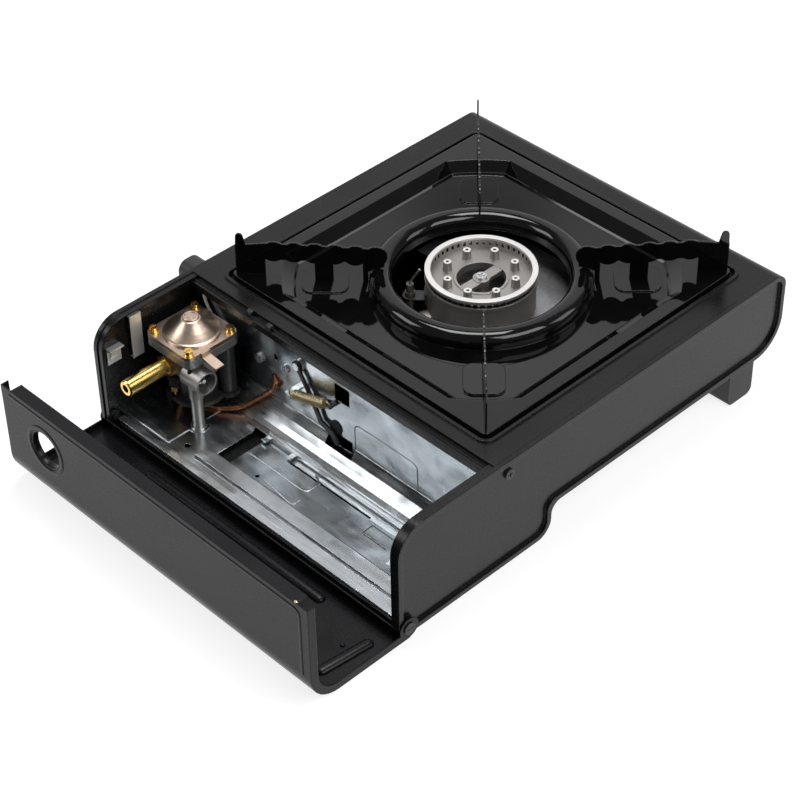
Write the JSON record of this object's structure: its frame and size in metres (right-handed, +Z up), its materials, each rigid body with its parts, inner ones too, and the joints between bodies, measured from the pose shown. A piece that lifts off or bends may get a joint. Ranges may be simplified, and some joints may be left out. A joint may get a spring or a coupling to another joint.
{
  "type": "portable gas stove",
  "caption": "Table-top gas stove with enamelled drip pan, notched pan supports, cast burner, and a lid hinged open beside the gas cartridge bay.",
  "frame": {"origin": "on the table, under the middle of the stove as it stands with its lid open", "axes": "+X towards the cartridge bay and the lid, +Y towards the rear panel, +Z up; the control knob faces -Y"},
  "size_m": [0.4192, 0.293, 0.1172],
  "materials": {
    "painted_black": "satin black paint on steel sheet",
    "enamel": "gloss black enamel",
    "plated_steel": "bright zinc-plated steel sheet",
    "black_plastic": "moulded black plastic",
    "black_steel": "black steel strip",
    "black_screw": "blackened screw",
    "plated_screw": "bright zinc plating",
    "brass": "turned brass",
    "copper": "drawn copper pipe",
    "cast_alloy": "as cast",
    "cap_metal": "warm lacquered metal",
    "burner_alloy": "cast and machined",
    "dark_metal": "dark grey metal",
    "rubber": "black rubber",
    "ceramic": "glazed ceramic",
    "lead_sleeve": "white sleeve",
    "spring_wire": "yellow zinc spring wire"
  },
  "bodies": {
    "chassis": {"top_plate": "painted_black", "bottom_plate": "painted_black", "front_panel": "painted_black", "rear_panel": "painted_black", "divider_wall": "plated_steel", "cartridge_tray": "plated_steel", "foot_front": "black_plastic", "foot_rear": "black_plastic", "rest_pads": "black_plastic", "panel_screws": "black_screw", "divider_screws": "plated_screw", "hinge_screws": "black_screw", "front_strap": "plated_steel", "catch_bracket": "plated_steel", "divider_plug": "rubber", "slide_rail": "plated_steel", "heat_shield": "dark_metal", "burner_cup": "burner_alloy", "burner_head": "burner_alloy", "burner_screw": "plated_screw", "mixing_tube": "cast_alloy", "gas_nozzle": "brass", "electrode_clip": "plated_steel", "electrode_insulator": "ceramic", "electrode_rod": "plated_screw", "ignition_lead": "lead_sleeve", "regulator_body": "cast_alloy", "regulator_cap": "cap_metal", "diaphragm": "rubber", "regulator_spring": "plated_screw", "cap_screws": "brass", "hose_stem": "brass", "inlet_seal": "rubber", "inlet_pin": "plated_screw", "post_ring": "plated_screw", "valve_body": "dark_metal", "valve_base": "black_plastic", "piezo_unit": "dark_metal", "copper_pipe": "copper", "pipe_nut": "brass", "arm_pivot": "plated_screw", "tension_spring": "spring_wire"},
    "lid": {"lid": "painted_black", "lid_stud": "plated_screw"},
    "pan": {"drip_pan": "enamel", "support_a": "enamel", "support_b": "enamel", "support_c": "enamel", "support_d": "enamel"},
    "knob": {"control_knob": "black_plastic", "valve_shaft": "plated_screw"},
    "lever": {"lock_lever": "black_plastic", "lever_plate": "plated_steel"},
    "slide": {"slide_plate": "plated_steel", "cartridge_stop": "plated_steel"},
    "arm": {"release_arm": "black_steel"}
  },
  "joints": [
    {"name": "lid_hinge", "type": "hinge", "parent": "chassis", "child": "lid", "pos_m": [0.1325, 0.00705, 0.008], "axis": [0, -1, 0], "range_deg": [0, 90]},
    {"name": "knob_turn", "type": "hinge", "parent": "chassis", "child": "knob", "pos_m": [0.0839, -0.13295, 0.03], "axis": [0, -1, 0], "range_deg": [0, 90]},
    {"name": "lever_slide", "type": "slide", "parent": "chassis", "child": "lever", "axis": [0, 0, 1], "range_m": [-0.024, 0]},
    {"name": "plate_slide", "type": "slide", "parent": "chassis", "child": "slide", "axis": [0, 1, 0], "range_m": [-0.0101, 0]},
    {"name": "arm_swing", "type": "hinge", "parent": "chassis", "child": "arm", "pos_m": [0.0599, -0.02695, 0.064], "axis": [1, 0, 0], "range_deg": [0, 15.1], "deforming": ["tension_spring"]},
    {"name": "pan_lift", "type": "slide", "parent": "chassis", "child": "pan", "axis": [0, 0, 1], "range_m": [0, 0.04]}
  ],
  "couplings": [
    {"joint": "plate_slide", "follows": "lever_slide", "ratio": 0.41667},
    {"joint": "arm_swing", "follows": "lever_slide", "rad_per_m": -10.9}
  ]
}
